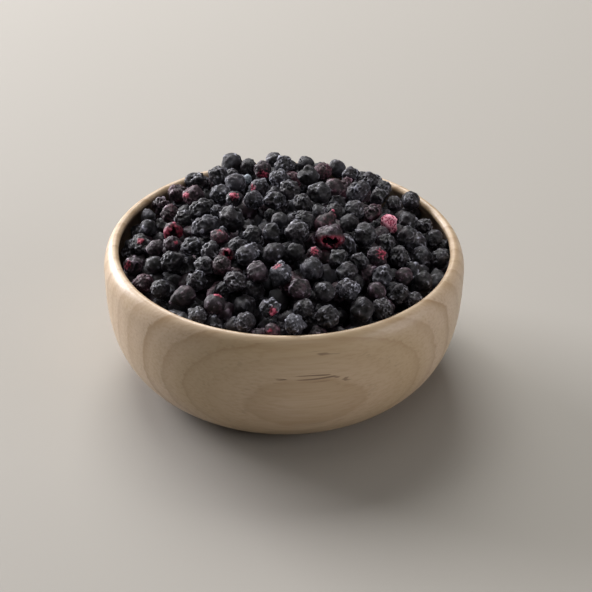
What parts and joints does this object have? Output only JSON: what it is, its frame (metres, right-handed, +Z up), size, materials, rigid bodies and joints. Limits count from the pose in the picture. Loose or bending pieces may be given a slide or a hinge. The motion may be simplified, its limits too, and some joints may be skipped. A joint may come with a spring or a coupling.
{
  "type": "bowl of freeze-dried blueberries",
  "caption": "Squat turned wooden bowl heaped with freeze-dried blueberries: wrinkled blue-black berries, a few broken open to crimson flesh.",
  "frame": {"origin": "middle of the bowl's flat foot, on the surface that it stands on", "axes": "+Z up, -Y towards the front as the picture shows it, +X to the right of that view"},
  "size_m": [0.16, 0.16, 0.0838],
  "materials": {
    "bowl_wood": "matte",
    "berry_skin": "matte",
    "berry_flesh": "matte"
  },
  "bodies": {
    "root": {"bowl": "bowl_wood", "berry_bed": "berry_skin", "berry_back_1": "berry_skin", "berry_back_2": "berry_skin", "berry_back_3": "berry_skin", "berry_back_4": "berry_skin", "berry_back_5": "berry_skin", "berry_back_6": "berry_skin", "berry_back_7": "berry_skin", "berry_back_8": "berry_skin", "berry_back_9": "berry_skin", "berry_back_10": "berry_skin", "berry_back_11": "berry_skin", "berry_back_12": "berry_skin", "berry_back_13": "berry_skin", "berry_left_1": "berry_skin", "berry_left_2": "berry_skin", "berry_left_3": "berry_skin", "berry_left_4": "berry_skin", "berry_left_5": "berry_skin", "berry_left_6": "berry_skin", "berry_left_7": "berry_skin", "berry_left_8": "berry_skin", "berry_left_9": "berry_skin", "berry_left_10": "berry_skin", "berry_left_11": "berry_skin", "berry_left_12": "berry_skin", "berry_left_13": "berry_skin", "berry_middle_1": "berry_skin", "berry_middle_2": "berry_skin", "berry_middle_3": "berry_skin", "berry_middle_4": "berry_skin", "berry_middle_5": "berry_skin", "berry_middle_6": "berry_skin", "berry_middle_7": "berry_skin", "berry_middle_8": "berry_skin", "berry_middle_9": "berry_skin", "berry_middle_10": "berry_skin", "berry_middle_11": "berry_skin", "berry_middle_12": "berry_skin", "berry_middle_13": "berry_skin", "berry_middle_14": "berry_skin", "berry_middle_15": "berry_skin", "berry_right_1": "berry_skin", "berry_right_2": "berry_skin", "berry_right_3": "berry_skin", "berry_right_4": "berry_skin", "berry_right_5": "berry_skin", "berry_right_6": "berry_skin", "berry_front_1": "berry_skin", "berry_front_2": "berry_skin", "berry_front_3": "berry_skin", "berry_front_4": "berry_skin", "berry_front_5": "berry_skin", "berry_front_6": "berry_skin", "berry_front_7": "berry_skin", "berry_torn_shell": "berry_flesh", "berry_pink_flesh": "berry_flesh", "berry_cracked_open": "berry_flesh", "berry_crimson_ring": "berry_flesh"}
  },
  "joints": []
}
